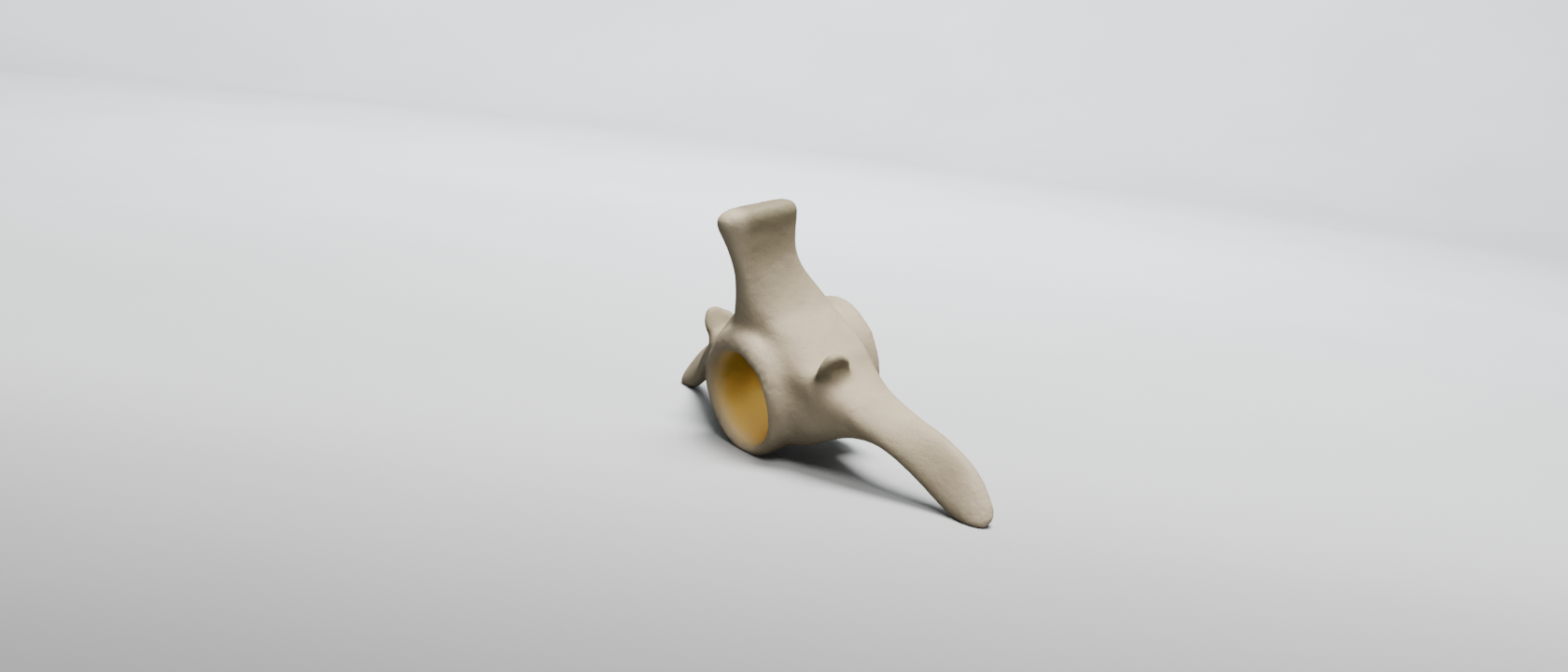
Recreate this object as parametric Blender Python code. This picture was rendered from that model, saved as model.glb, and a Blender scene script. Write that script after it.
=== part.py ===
"""A pig's lumbar vertebra, life size: one bone, lying on its body and on the tips of its transverse processes.

The frame is in metres, +Z up. The animal's head end is -Y and its left side is +X. The origin is on the floor,
under the middle of the bone. Each form below is a closed loft through a few sections. The forms are fused,
hollowed out, rounded together and set on the floor.
"""

import math

import bmesh
import bpy
from mathutils import Matrix, Vector

MM = 0.001

# Tools of the shaping, in metres and counts.
ROUND_SIDES = 40
STEPS_BETWEEN_SECTIONS = 4
VOXEL = 0.8 * MM
ROUNDING_PASSES = 16
TRIANGLES = 9500

# The bone was drawn with its body level. At rest it pitches this far down at the head end, until the lip of
# its body and the two tips touch the floor, and each of the three has a small flat there, in degrees and
# metres up from the level of the drawing's own zero.
REST_PITCH = 12.5
FLOOR_LEVEL = 0.25 * MM
SNAP = 0.15 * MM

# The trunk is the vertebral body with the arch that closes over it, drawn in round sections across the
# body's axis. Each row is (y, half width, half height, height of the centre), in millimetres.
TRUNK = (
    (-20.9, 15.0, 15.5, 22.1),
    (-20.6, 16.3, 17.0, 22.2),
    (-19.4, 18.0, 18.5, 22.3),
    (-17.6, 18.9, 19.1, 22.5),
    (-15.4, 19.0, 19.1, 22.6),
    (-12.8, 18.6, 18.8, 22.2),
    (-9.0, 17.8, 18.4, 21.8),
    (-3.0, 16.8, 18.2, 22.2),
    (5.0, 16.2, 18.0, 22.5),
    (10.6, 16.5, 18.5, 22.9),
    (14.4, 17.5, 19.4, 23.5),
    (17.0, 17.8, 19.9, 23.7),
    (19.4, 16.9, 18.9, 23.7),
    (20.4, 15.0, 16.9, 23.7),
)

# The blade is the spinous process, in flat sections one above the other.
# Each row is (z, cranial edge y, caudal edge y, half thickness of the cranial edge, of the caudal edge).
BLADE = (
    (76.4, -17.6, 0.6, 2.6, 2.4),
    (75.6, -20.4, 2.6, 4.0, 3.8),
    (74.0, -22.0, 3.8, 4.8, 4.6),
    (71.6, -22.0, 3.9, 4.7, 4.3),
    (68.0, -20.4, 3.4, 4.1, 3.4),
    (62.0, -18.4, 3.2, 3.8, 2.8),
    (57.0, -17.4, 4.4, 4.4, 3.8),
    (53.0, -17.2, 6.4, 5.2, 5.4),
    (49.0, -17.0, 8.8, 6.6, 8.2),
    (45.0, -16.8, 10.6, 8.8, 12.4),
    (40.0, -16.4, 12.0, 11.0, 16.6),
)

# The arch plate runs from the blade's foot out to the tip of the transverse process. Each row is (x,
# cranial edge y, its z, caudal edge y, its z, half thickness).
PLATE = (
    (3.0, -13.8, 46.2, 7.6, 47.0, 2.6),
    (7.0, -14.4, 42.4, 9.6, 44.0, 3.8),
    (13.0, -14.6, 36.6, 11.0, 39.0, 4.6),
    (20.0, -14.6, 29.8, 11.2, 33.8, 4.7),
    (27.0, -12.8, 25.6, 9.6, 28.8, 4.6),
    (33.5, -9.9, 22.4, 8.6, 25.0, 4.2),
    (40.0, -6.8, 18.4, 8.8, 22.2, 3.6),
    (47.0, -3.4, 13.8, 9.4, 20.2, 3.1),
    (54.0, -0.2, 7.4, 10.0, 18.2, 3.0),
    (60.0, 1.9, 2.1, 10.4, 15.6, 2.9),
    (65.0, 2.4, -0.2, 10.8, 12.2, 2.8),
    (69.0, 2.6, -0.9, 10.8, 8.2, 2.6),
    (72.0, 3.4, -1.5, 10.4, 4.0, 2.3),
    (73.4, 4.8, -1.7, 9.6, 0.6, 1.8),
)

# The root is the web under the arch plate that carries it from the body's side.
# Each row is (x, upper z, lower z, cranial edge y, caudal edge y).
ROOT = (
    (6.0, 31.0, 5.8, -11.0, 11.6),
    (14.0, 34.0, 6.6, -16.0, 11.4),
    (20.0, 30.0, 9.2, -15.0, 10.4),
    (28.0, 26.8, 13.0, -12.6, 9.0),
    (35.0, 23.0, 15.0, -8.6, 7.8),
    (42.0, 19.6, 14.6, -4.8, 8.0),
    (48.0, 17.6, 14.2, -1.2, 7.4),
)

# The fin is the cranial articular process, a thin upright shell that leans outwards, in flat sections one
# above the other. Each row is (z, cranial edge y, its x, caudal edge y, its x, half thickness).
FIN = (
    (39.6, -9.2, 30.0, -6.4, 30.3, 1.2),
    (38.8, -10.4, 29.7, -4.6, 30.2, 1.7),
    (36.6, -11.8, 29.0, -2.8, 29.8, 2.0),
    (34.0, -12.4, 27.8, -1.6, 28.8, 2.3),
    (32.0, -12.4, 26.6, -1.0, 27.8, 2.7),
    (30.0, -12.0, 25.0, -1.0, 26.4, 3.4),
    (27.6, -11.2, 23.2, -1.4, 24.8, 4.2),
    (24.0, -10.0, 20.6, -2.0, 22.0, 5.0),
)


def clear_scene():
    for obj in list(bpy.data.objects):
        bpy.data.objects.remove(obj)


def object_from(bm, name):
    """The bmesh as a new object in the scene."""
    mesh = bpy.data.meshes.new(name)
    bm.to_mesh(mesh)
    bm.free()
    obj = bpy.data.objects.new(name, mesh)
    bpy.context.scene.collection.objects.link(obj)
    return obj


def between(rows):
    """The rows with a smooth curve's steps added between each two."""
    smooth = []
    for i in range(len(rows) - 1):
        before = rows[max(i - 1, 0)]
        after = rows[min(i + 2, len(rows) - 1)]
        for step in range(STEPS_BETWEEN_SECTIONS):
            t = step / STEPS_BETWEEN_SECTIONS
            row = []
            for a, b, c, d in zip(before, rows[i], rows[i + 1], after):
                row.append(
                    0.5 * (2 * b + (c - a) * t + (2 * a - 5 * b + 4 * c - d) * t**2
                           + (3 * b - a - 3 * c + d) * t**3)
                )
            smooth.append(row)
    smooth.append(list(rows[-1]))
    return smooth


def loft(name, sections, squareness=2.0):
    """A closed body through sections, each (centre, long half axis, short half axis, taper), in millimetres.

    A squareness of 2 makes ellipses, and more makes them boxier. The taper thickens the end that the long
    axis points to and thins the other by the same share.
    """
    bm = bmesh.new()
    rings = []
    for centre, long, short, taper in sections:
        ring = []
        for i in range(ROUND_SIDES):
            angle = 2 * math.pi * i / ROUND_SIDES
            u = math.copysign(abs(math.cos(angle)) ** (2 / squareness), math.cos(angle))
            v = math.copysign(abs(math.sin(angle)) ** (2 / squareness), math.sin(angle))
            ring.append(bm.verts.new((centre + long * u + short * v * (1 + taper * u)) * MM))
        rings.append(ring)
    for near, far in zip(rings, rings[1:]):
        for i in range(ROUND_SIDES):
            j = (i + 1) % ROUND_SIDES
            bm.faces.new((near[i], near[j], far[j], far[i]))
    bm.faces.new(rings[0])
    bm.faces.new(rings[-1])
    bmesh.ops.recalc_face_normals(bm, faces=bm.faces)
    return object_from(bm, name)


def trunk():
    sections = [
        (Vector((0, y, z)), Vector((wide, 0, 0)), Vector((0, 0, high)), 0)
        for y, wide, high, z in between(TRUNK)
    ]
    return loft("trunk", sections)


def blade():
    sections = []
    for z, front, back, front_half, back_half in between(BLADE):
        half = (front_half + back_half) / 2
        taper = (front_half - back_half) / (front_half + back_half)
        centre = Vector((0, (front + back) / 2, z))
        sections.append((centre, Vector((0, (front - back) / 2, 0)), Vector((half, 0, 0)), taper))
    return loft("blade", sections, 3.0)


def arch_plate(side):
    """The arch and the transverse process of one side, +1 or -1."""
    rows = between(PLATE)
    sections = []
    for i, (x, front, front_z, back, back_z, thick) in enumerate(rows):
        last, following = rows[max(i - 1, 0)], rows[min(i + 1, len(rows) - 1)]
        fall = (following[2] + following[4] - last[2] - last[4]) / 2
        along = Vector((side * (following[0] - last[0]), 0, fall))
        centre = Vector((side * x, (front + back) / 2, (front_z + back_z) / 2))
        forward = Vector((0, (front - back) / 2, (front_z - back_z) / 2))
        across = forward.cross(along).normalized()
        sections.append((centre, forward, across * thick, 0))
    return loft("arch_plate", sections, 2.4)


def root(side):
    sections = []
    for x, upper, lower, front, back in between(ROOT):
        centre = Vector((side * x, (front + back) / 2, (upper + lower) / 2))
        tall = Vector((0, 0, (upper - lower) / 2))
        sections.append((centre, Vector((0, (front - back) / 2, 0)), tall, 0))
    return loft("root", sections, 2.7)


def egg(name, centre, half_sizes, lean=0.0, turn=0.0):
    """An ellipsoid, leaning about Y and turned about Z by these degrees."""
    bm = bmesh.new()
    place = (
        Matrix.Translation(Vector(centre) * MM)
        @ Matrix.Rotation(math.radians(turn), 4, "Z")
        @ Matrix.Rotation(math.radians(lean), 4, "Y")
        @ Matrix.Diagonal((*(size * MM for size in half_sizes), 1))
    )
    bmesh.ops.create_uvsphere(bm, u_segments=ROUND_SIDES, v_segments=24, radius=1, matrix=place)
    return object_from(bm, name)


def fin(side):
    """The cranial articular process of one side."""
    sections = []
    for z, front, front_x, back, back_x, half in between(FIN):
        centre = Vector((side * (front_x + back_x) / 2, (front + back) / 2, z))
        forward = Vector((side * (front_x - back_x) / 2, (front - back) / 2, 0))
        sections.append((centre, forward, Vector((half, 0, 0)), 0))
    return loft("fin", sections, 2.2)


def heel(side):
    """The inner bend at the caudal end of the fin."""
    return egg("heel", (side * 28.2, -3.2, 34.8), (3.0, 2.0, 3.2), side * 12)


def dimple(side):
    """The cut that hollows the plate's top under the outer side of the fin."""
    return egg("dimple", (side * 33.8, -5.4, 32.8), (5.4, 4.8, 3.8), side * 30)


def caudal_articular(side):
    """The low swelling that carries one caudal joint face, on the rim of the arch."""
    return egg("caudal_articular", (side * 11.0, 18.3, 32.4), (3.6, 2.3, 4.8), side * 30)


def dish():
    """The shallow dish of the body's caudal end."""
    return egg("dish", (0, 59.2, 14.4), (52.0, 40.0, 34.0))


def hollow():
    """The deep hollow in the cranial end."""
    rows = (
        (-30.0, 15.0, 15.1, 20.8),
        (-21.0, 15.0, 15.1, 20.8),
        (-18.0, 13.8, 13.9, 20.8),
        (-13.0, 12.4, 12.8, 20.8),
        (-8.0, 10.4, 11.0, 21.2),
        (-5.0, 7.4, 8.0, 21.6),
        (-4.0, 4.0, 4.4, 21.8),
    )
    sections = [
        (Vector((0, y, z)), Vector((wide, 0, 0)), Vector((0, 0, high)), 0)
        for y, wide, high, z in between(rows)
    ]
    return loft("hollow", sections)


def canal():
    """The canal for the spinal cord, right through the arch."""
    rows = (
        (-30.0, 9.4, 6.2, 27.6),
        (-10.0, 9.4, 6.2, 27.6),
        (0.0, 9.0, 6.2, 28.2),
        (12.0, 9.0, 6.2, 29.2),
        (18.0, 9.6, 6.6, 29.6),
        (30.0, 11.4, 8.4, 29.8),
    )
    sections = [
        (Vector((0, y, z)), Vector((wide, 0, 0)), Vector((0, 0, high)), 0)
        for y, wide, high, z in between(rows)
    ]
    return loft("canal", sections, 2.3)


def combine(body, operation, others):
    """The Boolean of the body with all the others, applied. The others are removed."""
    group = bpy.data.collections.new(operation.lower())
    for other in others:
        group.objects.link(other)
    join = body.modifiers.new(operation.lower(), "BOOLEAN")
    join.operation = operation
    join.operand_type = "COLLECTION"
    join.collection = group
    join.solver = "EXACT"
    apply_modifiers(body)
    for other in others:
        bpy.data.objects.remove(other)
    bpy.data.collections.remove(group)


def apply_modifiers(body):
    graph = bpy.context.evaluated_depsgraph_get()
    mesh = bpy.data.meshes.new_from_object(body.evaluated_get(graph))
    body.modifiers.clear()
    body.data = mesh


def soften(body):
    """One even skin over the body, rounded where the forms meet, in few triangles."""
    skin = body.modifiers.new("skin", "REMESH")
    skin.mode = "VOXEL"
    skin.voxel_size = VOXEL
    soft = body.modifiers.new("soft", "SMOOTH")
    soft.iterations = ROUNDING_PASSES
    apply_modifiers(body)
    few = body.modifiers.new("few", "DECIMATE")
    few.ratio = min(1.0, TRIANGLES / (2 * len(body.data.polygons)))
    few.use_symmetry = True
    few.symmetry_axis = "X"
    apply_modifiers(body)


def keep_largest(bm):
    """The crumbs that the cuts leave, removed from beside the bone."""
    left = set(bm.verts)
    bodies = []
    while left:
        found = [left.pop()]
        for vert in found:
            near = {edge.other_vert(vert) for edge in vert.link_edges} & left
            left -= near
            found.extend(near)
        bodies.append(found)
    bodies.sort(key=len)
    crumbs = [vert for found in bodies[:-1] for vert in found]
    bmesh.ops.delete(bm, geom=crumbs, context="VERTS")


def set_down(body):
    """The bone pitched to its rest, with its flats cut at z = 0 and the origin under its middle."""
    bm = bmesh.new()
    bm.from_mesh(body.data)
    keep_largest(bm)
    bmesh.ops.rotate(bm, verts=bm.verts, matrix=Matrix.Rotation(math.radians(REST_PITCH), 3, "X"))
    bmesh.ops.translate(bm, verts=bm.verts, vec=(0, 0, -FLOOR_LEVEL))
    geometry = bm.verts[:] + bm.edges[:] + bm.faces[:]
    bmesh.ops.bisect_plane(bm, geom=geometry, dist=SNAP, plane_no=(0, 0, -1), clear_outer=True)
    rim = [edge for edge in bm.edges if edge.is_boundary]
    for vert in {vert for edge in rim for vert in edge.verts}:
        vert.co.z = 0
    bmesh.ops.holes_fill(bm, edges=rim)
    bmesh.ops.triangulate(bm, faces=bm.faces)
    bmesh.ops.recalc_face_normals(bm, faces=bm.faces)
    across = [vert.co.x for vert in bm.verts]
    along = [vert.co.y for vert in bm.verts]
    middle = Vector((min(across) + max(across), min(along) + max(along), 0)) / 2
    bmesh.ops.translate(bm, verts=bm.verts, vec=-middle)
    bm.to_mesh(body.data)
    bm.free()


def main():
    clear_scene()
    body = trunk()
    body.name = "vertebra"
    pairs = [form(side) for form in (arch_plate, root, fin, heel, caudal_articular) for side in (1, -1)]
    combine(body, "UNION", [blade(), *pairs])
    combine(body, "DIFFERENCE", [hollow(), canal(), dish(), dimple(1), dimple(-1)])
    soften(body)
    set_down(body)
    for face in body.data.polygons:
        face.use_smooth = True
    bone = bpy.data.materials.new("bone")
    bone.use_nodes = True
    shader = bone.node_tree.nodes["Principled BSDF"]
    shader.inputs["Base Color"].default_value = (0.62, 0.55, 0.42, 1)
    shader.inputs["Roughness"].default_value = 0.6
    body.data.materials.clear()
    body.data.materials.append(bone)


main()
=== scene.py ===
"""The looks of a pig's lumbar vertebra: its ivory bone, its golden hollow, and the pale studio it lies in.

The frame is in metres, +Z up, with the animal's head end at -Y and its left side at +X. The bone rests pitched
down a little at the head end. Names with "level" in them are measured along and across the bone's own body.
"""

import math

import bmesh
import bpy
from mathutils import Matrix, Vector


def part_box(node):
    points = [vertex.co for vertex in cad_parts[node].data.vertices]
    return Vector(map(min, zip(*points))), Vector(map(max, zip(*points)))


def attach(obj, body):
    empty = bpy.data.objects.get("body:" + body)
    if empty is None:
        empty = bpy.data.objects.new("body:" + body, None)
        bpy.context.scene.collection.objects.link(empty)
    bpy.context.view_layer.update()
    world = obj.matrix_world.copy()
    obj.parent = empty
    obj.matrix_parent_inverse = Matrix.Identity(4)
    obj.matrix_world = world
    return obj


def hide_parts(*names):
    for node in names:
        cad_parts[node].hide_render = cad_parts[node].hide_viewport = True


bl_info = {
    "name": "Pig lumbar vertebra",
    "version": (1, 0, 0),
    "blender": (4, 5, 0),
    "location": "3D View > Sidebar > Vertebra",
    "description": "Builds a dry pig vertebra and the pale studio that shows it",
    "category": "Object",
}

MM = 0.001
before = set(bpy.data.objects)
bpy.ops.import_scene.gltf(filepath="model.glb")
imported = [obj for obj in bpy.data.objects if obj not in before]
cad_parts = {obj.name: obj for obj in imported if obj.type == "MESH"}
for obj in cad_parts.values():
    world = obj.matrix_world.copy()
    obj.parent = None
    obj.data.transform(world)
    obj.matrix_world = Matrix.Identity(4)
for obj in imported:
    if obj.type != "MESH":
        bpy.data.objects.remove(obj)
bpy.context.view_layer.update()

# The bone's rest pitch, and where the drawing's own zero lies in the frame.
REST_PITCH = math.radians(12.5)
LEVEL_ORIGIN = Vector((0, 9.531, -0.25)) * MM
LEVEL = Matrix.Scale(1 / MM, 4) @ Matrix.Rotation(-REST_PITCH, 4, "X") @ Matrix.Translation(-LEVEL_ORIGIN)

# The hollow's axis above the level zero and its radius, in millimetres.
HOLLOW_UP = 21.2
HOLLOW_RADIUS = 14.6

# The spot on the hollow's wall that the narrow light is aimed at, and how wide its cone is.
WALL_INSIDE = Vector((-0.004, -0.002, 0.0095))
HOLLOW_LIGHT_CONE = math.radians(4.4)

# Small holes for blood vessels under the body, each (level point, radius, depth), in millimetres.
VESSEL_HOLES = (
    ((3.2, 0.6, 4.6), 1.3, 1.1),
    ((-3.7, 1.8, 4.6), 1.1, 0.9),
    ((-1.0, 5.2, 4.6), 0.8, 0.5),
)

# Creases behind the mouth's lip that are softened, as level points on the left side, and how far round each.
CREASES = ((15.0, -15.0, 35.0), (19.5, -14.2, 31.0), (21.5, -13.6, 27.5), (25.0, -13.0, 25.0), (30.0, -11.5, 21.5))
CREASE_REACH = 9.0


def ease(value, start, end):
    """From 0 at the start to 1 at the end, with no corner at either."""
    share = min(max((value - start) / (end - start), 0), 1)
    return share * share * (3 - 2 * share)


class BoneSettings(bpy.types.PropertyGroup):
    """How finely the bone is skinned and how strongly its surface is worked."""

    skin_size: bpy.props.FloatProperty(
        name="Skin size", description="Edge length of the bone's fine skin",
        default=0.52 * MM, min=0.3 * MM, max=2 * MM, unit="LENGTH", precision=5,
    )
    rounding: bpy.props.IntProperty(
        name="Rounding", description="Smoothing passes that take the facets off the skin",
        default=6, min=0, max=60,
    )
    crease_rounding: bpy.props.IntProperty(
        name="Crease rounding", description="Smoothing passes in the creases behind the mouth's lip",
        default=170, min=0, max=400,
    )
    swell: bpy.props.FloatProperty(
        name="Swell", description="Height of the slow rises and hollows all over the bone",
        default=0.14 * MM, min=0, max=1 * MM, unit="LENGTH", precision=5,
    )
    swell_size: bpy.props.FloatProperty(
        name="Swell size", description="Distance between the slow rises", default=8 * MM, min=1 * MM,
        unit="LENGTH", precision=5,
    )
    grain: bpy.props.FloatProperty(
        name="Grain", description="Height of the rough grain on the ends of the bone", default=0.13 * MM,
        min=0, unit="LENGTH", precision=5,
    )
    grain_size: bpy.props.FloatProperty(
        name="Grain size", description="Distance between the grains", default=1.5 * MM, min=0.5 * MM,
        unit="LENGTH", precision=5,
    )
    ivory: bpy.props.FloatVectorProperty(
        name="Ivory", description="Main colour of the dry bone",
        subtype="COLOR", size=3, min=0, max=1, default=(0.44, 0.365, 0.26),
    )
    # Partly painted light: this paler colour mottles the bone, and also lightens the crests and the upper lip as
    # painted highlight.
    chalk_and_highlight: bpy.props.FloatVectorProperty(
        name="Chalk", description="Paler, more weathered bone on the crests",
        subtype="COLOR", size=3, min=0, max=1, default=(0.56, 0.48, 0.36),
    )
    # Partly painted shade: this green-grey colours the random stains and the pores, and darkens the dips as painted
    # shade.
    moss_and_shade: bpy.props.FloatVectorProperty(
        name="Moss", description="Faint green-grey stain in the sheltered places",
        subtype="COLOR", size=3, min=0, max=1, default=(0.33, 0.29, 0.175),
    )
    # Partly painted shade: a greenish grey that also darkens the blade's top, its upper part and the joint processes
    # as painted shade.
    grey_and_shade: bpy.props.FloatVectorProperty(
        name="Gristle", description="Greyer bone where gristle dried on the blade's top and the joint processes",
        subtype="COLOR", size=3, min=0, max=1, default=(0.265, 0.235, 0.155),
    )
    # Painted shade: this dark brown stands for the shade under the joint processes and on the faces toward the head
    # end.
    painted_shade: bpy.props.FloatVectorProperty(
        name="Dust", description="Brown dust under the joint processes and on the blade's front edge",
        subtype="COLOR", size=3, min=0, max=1, default=(0.15, 0.132, 0.09),
    )
    gold: bpy.props.FloatVectorProperty(
        name="Gold", description="Colour of the hollow's wall",
        subtype="COLOR", size=3, min=0, max=1, default=(0.98, 0.66, 0.14),
    )
    # Painted shade: this darker colour stands for the shade under the hollow's roof and in the canal.
    olive_in_shade: bpy.props.FloatVectorProperty(
        name="Olive", description="Colour of the hollow's roof and of the canal",
        subtype="COLOR", size=3, min=0, max=1, default=(0.50, 0.355, 0.055),
    )
    # Painted light: this brighter colour stands for light falling on the hollow's floor and near side.
    amber_in_light: bpy.props.FloatVectorProperty(
        name="Amber", description="Colour of the hollow's floor",
        subtype="COLOR", size=3, min=0, max=1, default=(1.0, 0.68, 0.21),
    )
    # Partly painted light: a pale cream between the ivory and the gold, made brighter as if lit.
    peach_and_light: bpy.props.FloatVectorProperty(
        name="Peach", description="Colour of the hollow's edge, between the ivory and the gold",
        subtype="COLOR", size=3, min=0, max=1, default=(0.84, 0.68, 0.40),
    )


class StageSettings(bpy.types.PropertyGroup):
    """The floor, the light and the camera."""

    floor_colour: bpy.props.FloatVectorProperty(
        name="Floor colour", description="Colour of the floor and of the wall that it curves up into",
        subtype="COLOR", size=3, min=0, max=1, default=(0.62, 0.655, 0.705),
    )
    floor_bounce: bpy.props.FloatVectorProperty(
        name="Floor bounce", description="Colour of the light that the floor throws back at the bone",
        subtype="COLOR", size=3, min=0, max=1, default=(0.075, 0.08, 0.08),
    )
    floor_radius: bpy.props.FloatProperty(
        name="Floor radius", description="Distance from the bone to the wall",
        default=1.6, min=0.5, max=10, unit="LENGTH",
    )
    key_power: bpy.props.FloatProperty(
        name="Key light", description="Power of the large soft light above",
        default=22.0, min=0, unit="POWER",
    )
    front_power: bpy.props.FloatProperty(
        name="Front light", description="Power of the soft light high above the camera, which reaches the hollow",
        default=5.0, min=0, unit="POWER",
    )
    hollow_power: bpy.props.FloatProperty(
        name="Hollow light", description="Power of the narrow light that reaches into the hollow",
        default=1.1, min=0, unit="POWER",
    )
    fill_power: bpy.props.FloatProperty(
        name="Fill light", description="Power of the weak light beside the camera", default=0.6, min=0,
        unit="POWER",
    )
    wall_power: bpy.props.FloatProperty(
        name="Wall light", description="Power of the light that falls on the wall behind", default=130.0,
        min=0, unit="POWER",
    )
    sky: bpy.props.FloatProperty(
        name="Sky", description="Strength of the even light from all round", default=0.06, min=0,
    )
    azimuth: bpy.props.FloatProperty(
        name="Azimuth", description="Camera's turn about the bone, from straight along +Y",
        default=math.radians(52.266), unit="ROTATION",
    )
    elevation: bpy.props.FloatProperty(
        name="Elevation", description="Camera's height angle above the floor",
        default=math.radians(11.628), unit="ROTATION",
    )
    roll: bpy.props.FloatProperty(
        name="Roll", description="Camera's turn about its own line of sight",
        default=math.radians(6.969), unit="ROTATION",
    )
    distance: bpy.props.FloatProperty(
        name="Distance", description="From the camera to the point it looks at", default=0.37021,
        min=0.05, unit="LENGTH",
    )
    target: bpy.props.FloatVectorProperty(
        name="Target", description="Point that the camera looks at", size=3, subtype="TRANSLATION",
        default=(-0.003611, 0.002072, 0.033306),
    )
    lens: bpy.props.FloatProperty(
        name="Lens", description="Focal length on a sensor 36 mm wide", default=28.790, min=1, unit="CAMERA",
    )


def new_material(name, colour, roughness):
    """A material whose shader stands alone, ready for nodes to be joined to it."""
    material = bpy.data.materials.new(name)
    material.use_nodes = True
    shader = material.node_tree.nodes["Principled BSDF"]
    shader.inputs["Base Color"].default_value = (*colour, 1)
    shader.inputs["Roughness"].default_value = roughness
    return material, material.node_tree, shader


class NodeBench:
    """Places nodes on a tree and joins them, left to right."""

    def __init__(self, tree):
        self.tree = tree
        self.count = 0

    def node(self, kind, label, **settings):
        made = self.tree.nodes.new(kind)
        made.label = label
        made.location = (200 * (self.count % 12) - 2600, 300 - 320 * (self.count // 12))
        self.count += 1
        for name, value in settings.items():
            setattr(made, name, value)
        return made

    def feed(self, socket, value):
        """Joins the value to the socket if it is an output, or else sets it."""
        if isinstance(value, bpy.types.NodeSocket):
            self.tree.links.new(value, socket)
        else:
            socket.default_value = value

    def math(self, operation, first, second=0.0, third=0.0, label=""):
        made = self.node("ShaderNodeMath", label or operation.lower(), operation=operation)
        for socket, value in zip(made.inputs, (first, second, third)):
            self.feed(socket, value)
        return made.outputs[0]

    def vector(self, operation, first, second=(0, 0, 0), label=""):
        made = self.node("ShaderNodeVectorMath", label or operation.lower(), operation=operation)
        self.feed(made.inputs[0], first)
        self.feed(made.inputs[1], second)
        return made.outputs[1 if operation in ("LENGTH", "DOT_PRODUCT") else 0]

    def ease(self, value, start, end, low=0.0, high=1.0, label="ease"):
        """The value eased from low to high between start and end."""
        made = self.node("ShaderNodeMapRange", label, interpolation_type="SMOOTHSTEP")
        for socket, given in zip(made.inputs[:5], (value, start, end, low, high)):
            self.feed(socket, given)
        return made.outputs[0]

    def noise(self, place, scale, detail=3.0, roughness=0.5, warp=0.0, label="noise"):
        made = self.node("ShaderNodeTexNoise", label)
        for name, value in (("Vector", place), ("Scale", scale), ("Detail", detail),
                            ("Roughness", roughness), ("Distortion", warp)):
            self.feed(made.inputs[name], value)
        return made.outputs[0]

    def pits(self, place, scale, label="pits"):
        made = self.node("ShaderNodeTexVoronoi", label)
        self.feed(made.inputs["Vector"], place)
        self.feed(made.inputs["Scale"], scale)
        return made.outputs["Distance"]

    def mix(self, share, first, second, label="mix", blend="MIX"):
        made = self.node("ShaderNodeMix", label, data_type="RGBA", blend_type=blend)
        self.feed(made.inputs[0], share)
        for socket, value in ((made.inputs[6], first), (made.inputs[7], second)):
            self.feed(socket, (*value, 1) if isinstance(value, tuple) and len(value) == 3 else value)
        return made.outputs[2]


def group_of(name, inputs, outputs):
    """A new node group, with its bench and its two ends."""
    group = bpy.data.node_groups.new(name, "ShaderNodeTree")
    for kind, sockets in (("INPUT", inputs), ("OUTPUT", outputs)):
        for label, socket_type, default in sockets:
            socket = group.interface.new_socket(label, in_out=kind, socket_type=socket_type)
            if default is not None:
                socket.default_value = default
    bench = NodeBench(group)
    entry = bench.node("NodeGroupInput", "in")
    leave = bench.node("NodeGroupOutput", "out")
    return group, bench, entry, leave


def bone_grain_group():
    """Fine pores, long fibres and slow mottling, as a height and two masks."""
    group, bench, entry, leave = group_of(
        "bone grain",
        (("Place", "NodeSocketVector", None), ("Pore Size", "NodeSocketFloat", 1.0)),
        (("Height", "NodeSocketFloat", None), ("Mottle", "NodeSocketFloat", None),
         ("Pores", "NodeSocketFloat", None)),
    )
    place = entry.outputs["Place"]
    mottle = bench.noise(place, 46.0, 5.0, 0.56, 0.5, "mottle")
    fibres = bench.node("ShaderNodeMapping", "along the fibres")
    bench.feed(fibres.inputs["Vector"], place)
    fibres.inputs["Scale"].default_value = (320, 900, 320)
    strands = bench.noise(fibres.outputs[0], 1.0, 4.0, 0.6, 0.4, "strands")
    scale = bench.math("DIVIDE", 1700.0, entry.outputs["Pore Size"], label="pores per metre")
    pore = bench.pits(place, scale, "pores")
    patches = bench.ease(bench.noise(place, 90.0, 2.0, 0.5, 0.0, "pore patches"), 0.46, 0.66)
    pore_mask = bench.math("MULTIPLY", bench.ease(pore, 0.34, 0.08), patches, label="pores in patches")
    grain = bench.noise(place, 1400.0, 3.0, 0.6, 0.0, "grain")
    knots = bench.noise(place, 330.0, 3.0, 0.55, 0.3, "knots")
    height = bench.math("MULTIPLY_ADD", strands, 0.5, bench.math("MULTIPLY", grain, 0.3))
    height = bench.math("MULTIPLY_ADD", knots, 1.5, height)
    height = bench.math("SUBTRACT", height, bench.math("MULTIPLY", pore_mask, 0.7), label="height")
    bench.feed(leave.inputs["Height"], height)
    bench.feed(leave.inputs["Mottle"], mottle)
    bench.feed(leave.inputs["Pores"], pore_mask)
    return group


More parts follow.
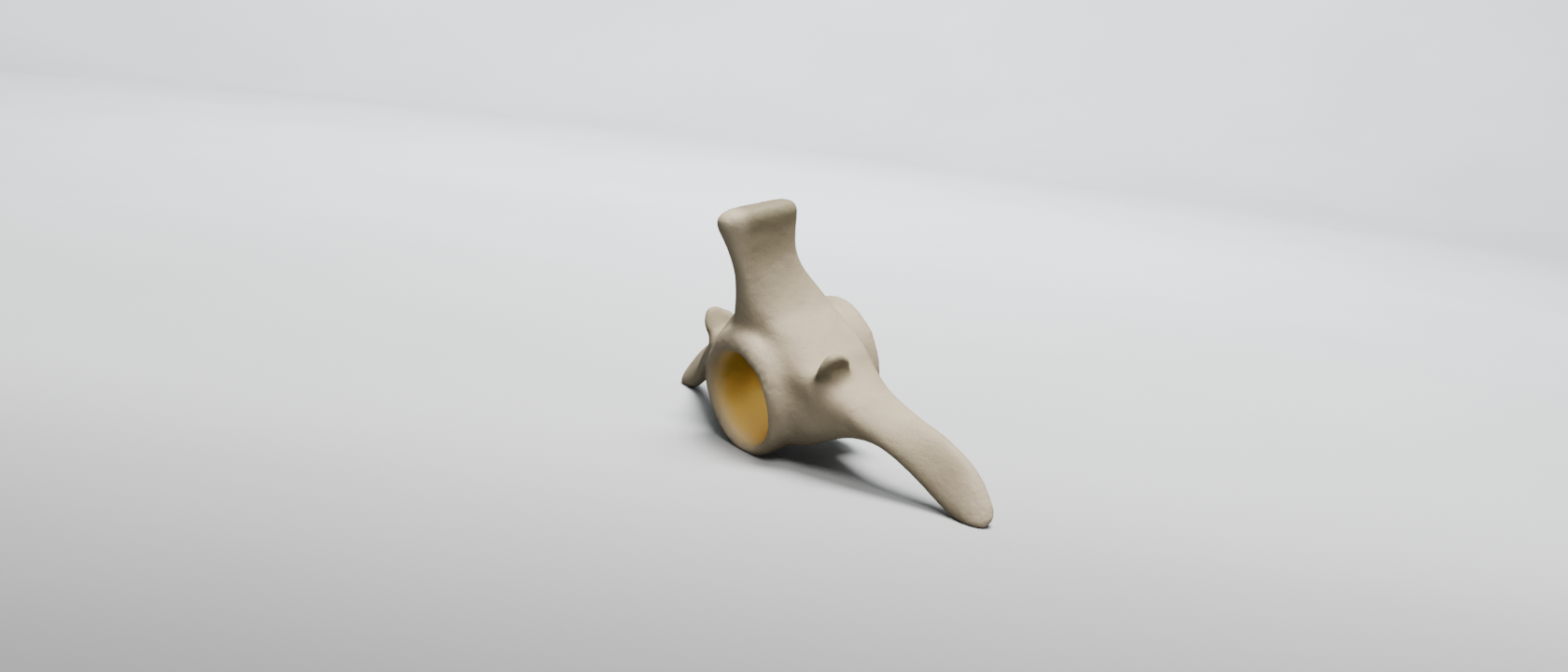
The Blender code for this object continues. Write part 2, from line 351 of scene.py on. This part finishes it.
def bone_material(settings):
    """Ivory outside and gold in the hollow, told apart by where a point lies along the bone's body."""
    material, tree, shader = new_material("dry bone", settings.ivory, 0.6)
    bench = NodeBench(tree)
    place = bench.node("ShaderNodeTexCoord", "place").outputs["Object"]
    grain = bench.node("ShaderNodeGroup", "bone grain", node_tree=bone_grain_group())
    bench.feed(grain.inputs["Place"], place)
    grain.inputs["Pore Size"].default_value = 1.0

    # Level coordinates of the point, in millimetres.
    level = bench.node("ShaderNodeMapping", "level", vector_type="TEXTURE")
    bench.feed(level.inputs["Vector"], place)
    level.inputs["Location"].default_value = LEVEL_ORIGIN
    level.inputs["Rotation"].default_value = (REST_PITCH, 0, 0)
    level.inputs["Scale"].default_value = (MM, MM, MM)
    split = bench.node("ShaderNodeSeparateXYZ", "across, along, up")
    bench.feed(split.inputs[0], level.outputs[0])
    across, along, up = split.outputs

    # The hollow: inside the lip's mouth, behind its plane.
    wander = bench.noise(place, 120.0, 3.0, 0.5, 0.0, "wander")
    side = bench.math("DIVIDE", across, HOLLOW_RADIUS)
    height = bench.math("DIVIDE", bench.math("SUBTRACT", up, HOLLOW_UP), HOLLOW_RADIUS)
    reach = bench.math("MULTIPLY_ADD", side, side, bench.math("MULTIPLY", height, height))
    reach = bench.math("MULTIPLY_ADD", wander, 0.16, reach, "distance from the hollow's axis")
    inside = bench.ease(reach, 1.20, 1.02, label="inside the mouth")
    behind = bench.ease(along, -20.2, -17.0, label="behind the mouth")
    ahead = bench.ease(along, 17.0, 9.0, label="ahead of the tail end")
    hollow = bench.math("MULTIPLY", bench.math("MULTIPLY", inside, behind), ahead, label="hollow")

    # The hollow's colours: a dark greenish yellow under the roof as painted shade, gold on the wall, and a brighter
    # orange on the floor and near side as painted light.
    drift = bench.math("MULTIPLY_ADD", wander, 5.0, up)
    lining = bench.mix(bench.ease(drift, 31.0, 20.0), tuple(settings.olive_in_shade), tuple(settings.gold), "roof to wall")
    low = bench.ease(bench.math("MULTIPLY_ADD", across, -0.35, drift), 22.0, 9.0, label="low and near")
    lining = bench.mix(low, lining, tuple(settings.amber_in_light), "wall to floor")
    # Partly painted light: the mouth's inner edge turns a brighter cream, a step from ivory to gold made to look
    # lit.
    shallow = bench.ease(bench.math("MULTIPLY_ADD", wander, 3.0, along), -12.5, -17.0, label="close to the mouth")
    lining = bench.mix(bench.math("MULTIPLY", shallow, 0.6), lining, tuple(settings.peach_and_light), "edge of the hollow")

    # The outside: chalky crests, paler also as painted highlight; ivory; faint random stains; and painted shade in
    # the dips where the bone is sheltered.
    geometry = bench.node("ShaderNodeNewGeometry", "surface")
    crest = bench.ease(geometry.outputs["Pointiness"], 0.50, 0.56, label="crests")
    dip = bench.ease(geometry.outputs["Pointiness"], 0.50, 0.44, label="dips")
    mottle = bench.ease(grain.outputs["Mottle"], 0.36, 0.66, label="mottle")
    mottle = bench.math("MULTIPLY", mottle, 0.55)
    outside = bench.mix(mottle, tuple(settings.ivory), tuple(settings.chalk_and_highlight), "mottled ivory")
    # Partly painted highlight: the crests are paler, as wear and as light catching the edges.
    outside = bench.mix(bench.math("MULTIPLY", crest, 0.5), outside, tuple(settings.chalk_and_highlight), "worn crests")
    stain_and_shade = bench.ease(bench.noise(place, 34.0, 4.0, 0.6, 0.8, "stain_and_shade"), 0.50, 0.74)
    # Painted shade: the dips, found by pointiness, are darkened along with the random stains.
    stain_and_shade = bench.math("MAXIMUM", bench.math("MULTIPLY", stain_and_shade, 0.34), bench.math("MULTIPLY", dip, 0.55))
    outside = bench.mix(stain_and_shade, outside, tuple(settings.moss_and_shade), "stained")

    # Greyer and darker on the blade's top, its upper part and the joint processes, partly as painted shade; painted
    # shade under the joint processes and on the faces toward the head end.
    wide = bench.math("ABSOLUTE", across)
    joint = bench.math("MULTIPLY", bench.ease(wide, 22.0, 26.0), bench.ease(wide, 36.0, 32.0), label="at the fins")
    joint = bench.math("MULTIPLY", joint, bench.ease(up, 30.0, 34.0), label="joint processes")
    blade = bench.math("MULTIPLY", bench.ease(drift, 40.0, 54.0), 0.42, label="blade")
    cap = bench.ease(drift, 67.0, 75.0, label="blade's top")
    # Partly painted shade: these parts are greyer and darker.
    ends = bench.math("MAXIMUM", bench.math("MULTIPLY", joint, 0.6), bench.math("MAXIMUM", cap, blade))
    outside = bench.mix(ends, outside, tuple(settings.grey_and_shade), "dried gristle")
    # Painted shade: faces toward the head end, and downward faces under the joint processes, are darkened.
    facing = bench.vector("DOT_PRODUCT", geometry.outputs["Normal"], (0, -1, 0), "faces the head end")
    facing = bench.ease(facing, 0.4, 0.9, label="front faces")
    downward = bench.vector("DOT_PRODUCT", geometry.outputs["Normal"], (0, 0, -1), "faces down")
    under = bench.math("MULTIPLY", joint, bench.ease(downward, 0.0, 0.3), label="under the joint processes")
    front = bench.math("MULTIPLY", bench.ease(up, 38.0, 46.0), facing, label="blade's front edge")
    far = bench.math("MULTIPLY", bench.ease(wide, 36.0, 48.0), facing, label="front of the side processes")
    shade_mask = bench.math("MAXIMUM", bench.math("MULTIPLY", under, 0.75), bench.math("MULTIPLY", front, 0.45))
    shade_mask = bench.math("MAXIMUM", shade_mask, bench.math("MULTIPLY", far, 0.1), label="shade_mask")
    outside = bench.mix(shade_mask, outside, tuple(settings.painted_shade), "dusty bone")
    # Painted light: the front, upper part of the mouth's lip is made paler, as if lit from above.
    rim = bench.math("MULTIPLY", bench.ease(along, -13.0, -18.0), bench.ease(up, 28.0, 35.0), label="upper lip")
    outside = bench.mix(bench.math("MULTIPLY", rim, 0.8), outside, tuple(settings.chalk_and_highlight), "worn upper lip")
    outside = bench.mix(bench.math("MULTIPLY", grain.outputs["Pores"], 0.45), outside, tuple(settings.moss_and_shade), "pores")

    colour = bench.mix(hollow, outside, lining, "outside or hollow")
    bench.feed(shader.inputs["Base Color"], colour)
    rough = bench.math("MULTIPLY_ADD", grain.outputs["Mottle"], 0.22, 0.48, label="roughness")
    bench.feed(shader.inputs["Roughness"], rough)
    bump = bench.node("ShaderNodeBump", "grain bump")
    bump.inputs["Strength"].default_value = 0.6
    bump.inputs["Distance"].default_value = 0.22 * MM
    bench.feed(bump.inputs["Height"], grain.outputs["Height"])
    bench.feed(shader.inputs["Normal"], bump.outputs[0])
    shader.inputs["Specular IOR Level"].default_value = 0.35
    return material


class VERTEBRA_OT_bone(bpy.types.Operator):
    """Skin the bone finely from a copy of the frame's solid, and finish its surface"""

    bl_idname = "vertebra.bone"
    bl_label = "Bone"

    def execute(self, context):
        settings = context.scene.vertebra_bone
        bm = bmesh.new()
        bm.from_mesh(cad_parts["vertebra"].data)
        bmesh.ops.remove_doubles(bm, verts=bm.verts, dist=0.002 * MM)
        mesh = bpy.data.meshes.new("bone")
        bm.to_mesh(mesh)
        bm.free()
        bone = bpy.data.objects.new("bone", mesh)
        context.scene.collection.objects.link(bone)

        finer = bone.modifiers.new("finer", "SUBSURF")
        finer.levels = finer.render_levels = 2
        skin = bone.modifiers.new("skin", "REMESH")
        skin.mode = "VOXEL"
        skin.voxel_size = settings.skin_size
        soft = bone.modifiers.new("soft", "SMOOTH")
        soft.iterations = settings.rounding
        self.apply(bone)
        self.ease_creases(bone, settings)
        self.pierce(bone)
        self.roughen(bone, settings)
        self.fit_inside(bone)
        bone.data.shade_smooth()
        bone.data.materials.clear()
        bone.data.materials.append(bone_material(settings))
        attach(bone, "root")
        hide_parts("vertebra")
        return {"FINISHED"}

    def ease_creases(self, bone, settings):
        """Softens the creases between the mouth's lip and the arch."""
        creases = bone.vertex_groups.new(name="creases")
        for vert in bone.data.vertices:
            across, along, up = LEVEL @ vert.co
            near = min((Vector((abs(across), along, up)) - Vector(spot)).length for spot in CREASES)
            if near < CREASE_REACH:
                creases.add([vert.index], ease(near, CREASE_REACH, CREASE_REACH / 2), "REPLACE")
        soft = bone.modifiers.new("soft", "SMOOTH")
        soft.iterations = settings.crease_rounding
        soft.vertex_group = "creases"
        self.apply(bone)

    def apply(self, bone):
        """Makes what the bone's modifiers give its own mesh."""
        graph = bpy.context.evaluated_depsgraph_get()
        bone.data = bpy.data.meshes.new_from_object(bone.evaluated_get(graph))
        bone.modifiers.clear()
        bone.vertex_groups.clear()

    def pierce(self, bone):
        """Sinks the small holes for blood vessels into the underside of the body."""
        bone.data.update()
        normals = [vert.normal.copy() for vert in bone.data.vertices]
        for centre, radius, depth in VESSEL_HOLES:
            centre = LEVEL.inverted() @ Vector(centre)
            for vert, normal in zip(bone.data.vertices, normals):
                share = 1 - ((vert.co - centre).length / (radius * MM)) ** 2
                if share > 0:
                    vert.co -= normal * depth * MM * share * share

    def roughen(self, bone, settings):
        """Slow swells all over, and a fine grain on the ends, where discs, gristle and sinew held."""
        ends = bone.vertex_groups.new(name="ends")
        for vert in bone.data.vertices:
            across, along, up = LEVEL @ vert.co
            weight = max(
                ease(up, 71.5, 74.5), ease(abs(across), 64, 72), ease(along, 17.6, 19.4), ease(-along, 18.6, 20.2)
                * ease(35 - up, -10, -5),
            )
            if weight > 0.01:
                ends.add([vert.index], weight, "REPLACE")
        for name, grain, height, group in (
            ("swell", settings.swell_size, settings.swell, ""),
            ("grain", settings.grain_size, settings.grain, "ends"),
        ):
            clouds = bpy.data.textures.new(name, "CLOUDS")
            clouds.noise_scale = grain
            clouds.noise_depth = 2
            shift = bone.modifiers.new(name, "DISPLACE")
            shift.texture = clouds
            shift.texture_coords = "LOCAL"
            shift.strength = height * 2
            shift.vertex_group = group
        self.apply(bone)

    def fit_inside(self, bone):
        """Presses what stands past the frame's box back to it, so that the flats stay flat on the floor."""
        low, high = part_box("vertebra")
        for vert in bone.data.vertices:
            for axis in range(3):
                vert.co[axis] = min(max(vert.co[axis], low[axis]), high[axis])


class VERTEBRA_OT_stage(bpy.types.Operator):
    """Set the pale floor, the soft light and the camera"""

    bl_idname = "vertebra.stage"
    bl_label = "Stage"

    def execute(self, context):
        settings = context.scene.vertebra_stage
        self.floor(context, settings)
        self.lights(context, settings)
        self.camera(context, settings)
        return {"FINISHED"}

    def floor(self, context, settings):
        """A round floor that curves up into a wall, spun from one profile."""
        bm = bmesh.new()
        radius = settings.floor_radius
        bend = radius * 0.45
        turns = [math.radians(angle) for angle in range(0, 91, 6)]
        profile = [Vector((radius * share, 0, 0)) for share in (0.001, 0.3, 0.7, 1)]
        profile += [Vector((radius + bend * math.sin(t), 0, bend * (1 - math.cos(t)))) for t in turns[1:]]
        profile.append(Vector((radius + bend, 0, bend + radius)))
        verts = [bm.verts.new(point) for point in profile]
        edges = [bm.edges.new(pair) for pair in zip(verts, verts[1:])]
        bmesh.ops.spin(
            bm, geom=verts + edges, cent=(0, 0, 0), axis=(0, 0, 1), angle=math.tau, steps=96, use_merge=True,
        )
        middle = [edge for edge in bm.edges if edge.is_boundary and edge.verts[0].co.length < 0.1]
        bmesh.ops.contextual_create(bm, geom=middle)
        bmesh.ops.recalc_face_normals(bm, faces=bm.faces)
        bmesh.ops.reverse_faces(bm, faces=bm.faces)
        mesh = bpy.data.meshes.new("floor")
        bm.to_mesh(mesh)
        bm.free()
        mesh.shade_smooth()
        material, tree, shader = new_material("pale paper", settings.floor_colour, 0.9)
        bench = NodeBench(tree)
        place = bench.node("ShaderNodeTexCoord", "place").outputs["Object"]
        tone_and_shade = bench.ease(bench.noise(place, 5.0, 3.0, 0.5, 0.0, "paper tone"), 0.3, 0.7, 0.97, 1.03)
        toward = (math.sin(settings.azimuth), -math.cos(settings.azimuth), 0)
        reach = bench.vector("DOT_PRODUCT", place, toward, "how far in front of the bone")
        # Painted shade: the floor darkens toward the camera, on top of the paper's random tone.
        tone_and_shade = bench.math("MULTIPLY", tone_and_shade, bench.ease(reach, -0.02, 0.22, 1.0, 0.27), label="darker in front")
        seen = bench.mix(1.0, tuple(settings.floor_colour), tone_and_shade, "tone_and_shade", "MULTIPLY")
        # The paper throws little light back at the bone, so that its shaded sides stay dark.
        camera_ray = bench.node("ShaderNodeLightPath", "which ray").outputs["Is Camera Ray"]
        colour = bench.mix(camera_ray, tuple(settings.floor_bounce), seen, "seen or bounced")
        bench.feed(shader.inputs["Base Color"], colour)
        mesh.materials.append(material)
        floor = bpy.data.objects.new("floor", mesh)
        context.scene.collection.objects.link(floor)

    def lights(self, context, settings):
        """A soft key overhead, a weaker one in front, a faint fill, one on the wall, one for the hollow, a sky."""
        turn = settings.azimuth
        right = Vector((math.cos(turn), math.sin(turn), 0))
        toward = Vector((math.sin(turn), -math.cos(turn), 0))
        upward = Vector((0, 0, 1))
        bone = upward * 0.035
        wall = toward * -settings.floor_radius * 1.5 + upward * 0.7
        warm, plain = (1.0, 0.955, 0.88), (1.0, 1.0, 1.0)
        for name, place, target, size, power, colour in (
            ("key", right * 0.08 + toward * 0.06 + upward * 1.0, bone, 0.5, settings.key_power, warm),
            ("front", right * 0.06 + toward * 0.60 + upward * 0.80, bone, 0.4, settings.front_power, warm),
            ("fill", right * 0.30 + toward * 0.95 + upward * 0.20, bone, 0.4, settings.fill_power, plain),
            ("wall_light", toward * -0.6 + upward * 1.5, wall, 1.4, settings.wall_power, plain),
        ):
            lamp = bpy.data.lights.new(name, "AREA")
            lamp.shape = "DISK"
            lamp.size = size
            lamp.energy = power
            lamp.color = colour
            self.hang(context, lamp, place, target)
        # A narrow spotlight through the mouth of the hollow, on the wall that the camera sees.
        lamp = bpy.data.lights.new("hollow_light", "SPOT")
        lamp.energy = settings.hollow_power
        lamp.spot_size = HOLLOW_LIGHT_CONE
        lamp.spot_blend = 0.8
        lamp.shadow_soft_size = 0.004
        lamp.color = warm
        aim_from = right * -0.35 + toward * 0.90 + upward * 0.25
        self.hang(context, lamp, WALL_INSIDE + aim_from * 0.3, WALL_INSIDE)
        world = bpy.data.worlds.new("sky")
        world.use_nodes = True
        world.node_tree.nodes["Background"].inputs["Color"].default_value = (0.84, 0.93, 1.0, 1)
        world.node_tree.nodes["Background"].inputs["Strength"].default_value = settings.sky
        context.scene.world = world

    def hang(self, context, lamp, place, target):
        """Puts the lamp at the place, aimed at the target."""
        light = bpy.data.objects.new(lamp.name, lamp)
        turn = (target - place).to_track_quat("-Z", "Y").to_matrix().to_4x4()
        light.matrix_world = Matrix.Translation(place) @ turn
        context.scene.collection.objects.link(light)

    def camera(self, context, settings):
        """The photograph's viewpoint: round the bone, above the floor, rolled a little."""
        turn, rise = settings.azimuth, settings.elevation
        back = Vector((math.sin(turn) * math.cos(rise), -math.cos(turn) * math.cos(rise), math.sin(rise)))
        right = Vector((math.cos(turn), math.sin(turn), 0))
        above = back.cross(right)
        cos, sin = math.cos(settings.roll), math.sin(settings.roll)
        right, above = cos * right + sin * above, cos * above - sin * right
        place = Matrix((right, above, back)).transposed().to_4x4()
        place.translation = Vector(settings.target) + back * settings.distance
        lens = bpy.data.cameras.new("camera")
        lens.lens = settings.lens
        lens.sensor_width = 36
        lens.clip_start = 0.01
        camera = bpy.data.objects.new("camera", lens)
        camera.matrix_world = place
        context.scene.collection.objects.link(camera)
        context.scene.camera = camera


class VERTEBRA_PT_panel(bpy.types.Panel):
    """The vertebra's steps and settings"""

    bl_idname = "VERTEBRA_PT_panel"
    bl_label = "Vertebra"
    bl_space_type = "VIEW_3D"
    bl_region_type = "UI"
    bl_category = "Vertebra"

    def draw(self, context):
        layout = self.layout
        for operator, settings in (
            ("vertebra.bone", context.scene.vertebra_bone),
            ("vertebra.stage", context.scene.vertebra_stage),
        ):
            layout.operator(operator)
            box = layout.box()
            for name in settings.__annotations__:
                box.prop(settings, name)


CLASSES = (BoneSettings, StageSettings, VERTEBRA_OT_bone, VERTEBRA_OT_stage, VERTEBRA_PT_panel)


def register():
    for item in CLASSES:
        bpy.utils.register_class(item)
    bpy.types.Scene.vertebra_bone = bpy.props.PointerProperty(type=BoneSettings)
    bpy.types.Scene.vertebra_stage = bpy.props.PointerProperty(type=StageSettings)


def unregister():
    del bpy.types.Scene.vertebra_stage
    del bpy.types.Scene.vertebra_bone
    for item in reversed(CLASSES):
        bpy.utils.unregister_class(item)


def main():
    register()
    bpy.ops.vertebra.bone()
    bpy.ops.vertebra.stage()


if __name__ == "__main__":
    main()
